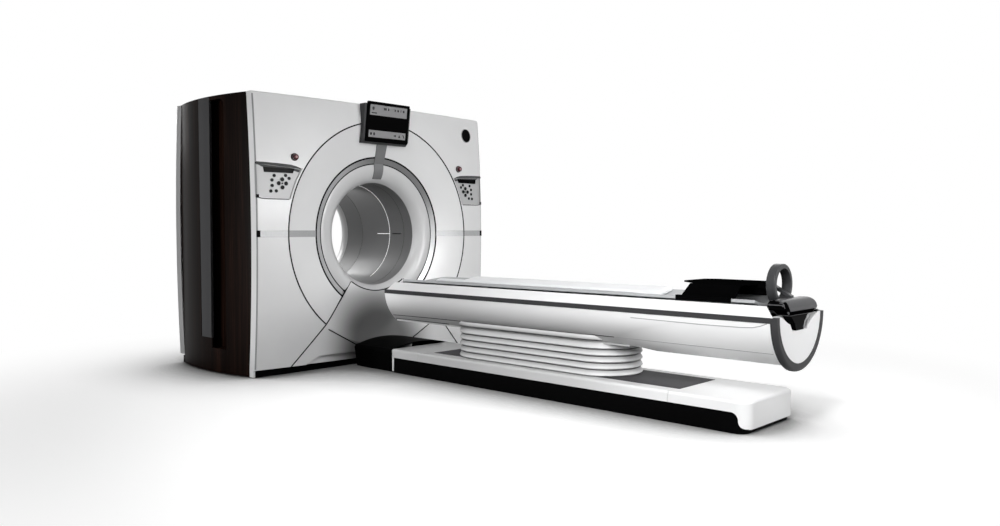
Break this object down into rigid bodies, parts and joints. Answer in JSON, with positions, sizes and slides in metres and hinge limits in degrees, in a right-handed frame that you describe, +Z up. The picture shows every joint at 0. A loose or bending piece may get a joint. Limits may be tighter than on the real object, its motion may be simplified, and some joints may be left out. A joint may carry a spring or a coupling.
{
  "type": "ct scanner",
  "caption": "Ring-shaped imaging gantry with an enclosed spinning rotor and a bellows-covered lifting table whose curved cradle feeds a patient through the bore.",
  "frame": {"origin": "floor level under the middle of the bore, at the gantry's mid-plane", "axes": "+X to the right facing the gantry from the table, +Y from the table into the bore, +Z up"},
  "size_m": [2.3236, 4.5818, 2],
  "materials": {
    "base_black": "semi-matte black enamel",
    "frame_steel": "grey primer",
    "bearing_steel": "ground",
    "cover_white": "satin moulded white",
    "funnel_white": "satin moulded white",
    "trim_silver": "metallic silver grey lacquer",
    "window_black": "gloss black",
    "liner_grey": "satin grey",
    "scan_window": "translucent grey film",
    "side_wood": "gloss dark brown wood-grain foil",
    "grip_grey": "satin dark grey",
    "screen_glass": "black glass front over an LCD",
    "panel_grey": "satin light silver grey",
    "key_black": "satin black sealed keys",
    "motor_grey": "grey enamel",
    "belt_rubber": "matt black",
    "pulley_metal": "machined",
    "drum_metal": "machined casting",
    "slip_metal": "epoxy carrier with bronze tracks",
    "tube_metal": "grey enamel",
    "detector_metal": "anodised",
    "base_white": "satin moulded white",
    "mat_grey": "fine ribbed grey mat",
    "dock_black": "matt black",
    "bellows_grey": "pleated light grey elastomer",
    "lift_steel": "grey enamel",
    "band_grey": "satin dark grey",
    "deck_white": "satin moulded white",
    "roller_rubber": "matt",
    "board_grey": "smooth carbon-sandwich board with a pale skin",
    "pad_white": "wipe-clean pale cover over foam",
    "carriage_metal": "anodised",
    "tray_black": "satin black",
    "handle_grey": "satin grey",
    "ring_grey": "satin grey",
    "estop_red": "dark red"
  },
  "bodies": {
    "base": {"base_mat": "mat_grey", "bearing_outer_race": "bearing_steel", "bellows": "bellows_grey", "bore_funnel": "funnel_white", "bore_liner": "liner_grey", "control_panels": "panel_grey", "display_housing": "handle_grey", "display_screen": "screen_glass", "display_stem": "trim_silver", "docking_skirt": "dock_black", "drive_belt": "belt_rubber", "drive_motor": "motor_grey", "front_cover_left": "cover_white", "front_cover_right": "cover_white", "front_lower_cover": "cover_white", "front_ring_cover": "cover_white", "front_trim": "trim_silver", "gantry_frame": "frame_steel", "gantry_plinth": "base_black", "keypads": "key_black", "rear_cover": "cover_white", "scan_window": "scan_window", "side_covers": "side_wood", "side_grips": "grip_grey", "table_base_cover": "base_white", "table_base_frame": "base_black", "table_end_cover": "base_white", "top_cover": "cover_white", "trim_windows": "window_black"},
    "column_middle": {"column_middle_tubes": "lift_steel"},
    "table_top": {"table_subframe": "lift_steel", "table_housing": "base_white", "edge_band": "band_grey", "end_panel": "base_white", "deck_covers": "deck_white", "cradle_drive_unit": "motor_grey"},
    "roller": {"support_roller": "roller_rubber"},
    "cradle": {"cradle": "board_grey", "cradle_pad": "pad_white", "cradle_carriage": "carriage_metal", "accessory_tray": "tray_black", "ring_handle": "ring_grey", "handle_block": "handle_grey"},
    "rotor": {"rotor_drum": "drum_metal", "slip_ring": "slip_metal", "xray_tube": "tube_metal", "collimator": "tube_metal", "detector_array": "detector_metal", "generator": "detector_metal"},
    "pulley": {"drive_pulley": "pulley_metal"},
    "estop_left": {"estop_left": "estop_red"},
    "estop_right": {"estop_right": "estop_red"},
    "key_left_up": {"key_left_up": "key_black"},
    "key_left_down": {"key_left_down": "key_black"},
    "key_left_outer": {"key_left_outer": "key_black"},
    "key_left_inner": {"key_left_inner": "key_black"},
    "key_right_up": {"key_right_up": "key_black"},
    "key_right_down": {"key_right_down": "key_black"},
    "key_right_outer": {"key_right_outer": "key_black"},
    "key_right_inner": {"key_right_inner": "key_black"}
  },
  "joints": [
    {"name": "table_lift", "type": "slide", "parent": "base", "child": "table_top", "axis": [0, 0, 1], "range_m": [0, 0.3], "deforming": ["bellows"]},
    {"name": "column_stage", "type": "slide", "parent": "base", "child": "column_middle", "axis": [0, 0, 1], "range_m": [0, 0.15]},
    {"name": "cradle_slide", "type": "slide", "parent": "table_top", "child": "cradle", "axis": [0, 1, 0], "range_m": [0, 1.7]},
    {"name": "roller_spin", "type": "hinge", "parent": "table_top", "child": "roller", "pos_m": [0, -1.06, 0.6017], "axis": [1, 0, 0], "range_deg": [-3900, 10]},
    {"name": "rotor_spin", "type": "hinge", "parent": "base", "child": "rotor", "pos_m": [0, 0, 0.9995], "axis": [0, 1, 0], "continuous": true},
    {"name": "pulley_spin", "type": "hinge", "parent": "base", "child": "pulley", "pos_m": [-0.905, 0.218, 0.19], "axis": [0, 1, 0], "continuous": true},
    {"name": "estop_left_press", "type": "slide", "parent": "base", "child": "estop_left", "axis": [0, 1, 0], "range_m": [0, 0.005], "stiffness_N_per_m": 600},
    {"name": "estop_right_press", "type": "slide", "parent": "base", "child": "estop_right", "axis": [0, 1, 0], "range_m": [0, 0.005], "stiffness_N_per_m": 600},
    {"name": "key_left_up_press", "type": "slide", "parent": "base", "child": "key_left_up", "axis": [0, 1, 0], "range_m": [0, 0.0015], "stiffness_N_per_m": 400},
    {"name": "key_left_down_press", "type": "slide", "parent": "base", "child": "key_left_down", "axis": [0, 1, 0], "range_m": [0, 0.0015], "stiffness_N_per_m": 400},
    {"name": "key_left_outer_press", "type": "slide", "parent": "base", "child": "key_left_outer", "axis": [0, 1, 0], "range_m": [0, 0.0015], "stiffness_N_per_m": 400},
    {"name": "key_left_inner_press", "type": "slide", "parent": "base", "child": "key_left_inner", "axis": [0, 1, 0], "range_m": [0, 0.0015], "stiffness_N_per_m": 400},
    {"name": "key_right_up_press", "type": "slide", "parent": "base", "child": "key_right_up", "axis": [0, 1, 0], "range_m": [0, 0.0015], "stiffness_N_per_m": 400},
    {"name": "key_right_down_press", "type": "slide", "parent": "base", "child": "key_right_down", "axis": [0, 1, 0], "range_m": [0, 0.0015], "stiffness_N_per_m": 400},
    {"name": "key_right_outer_press", "type": "slide", "parent": "base", "child": "key_right_outer", "axis": [0, 1, 0], "range_m": [0, 0.0015], "stiffness_N_per_m": 400},
    {"name": "key_right_inner_press", "type": "slide", "parent": "base", "child": "key_right_inner", "axis": [0, 1, 0], "range_m": [0, 0.0015], "stiffness_N_per_m": 400}
  ],
  "couplings": [
    {"joint": "column_stage", "follows": "table_lift", "ratio": 0.5},
    {"joint": "roller_spin", "follows": "cradle_slide", "rad_per_m": -38.462},
    {"joint": "pulley_spin", "follows": "rotor_spin", "ratio": 14.167}
  ]
}
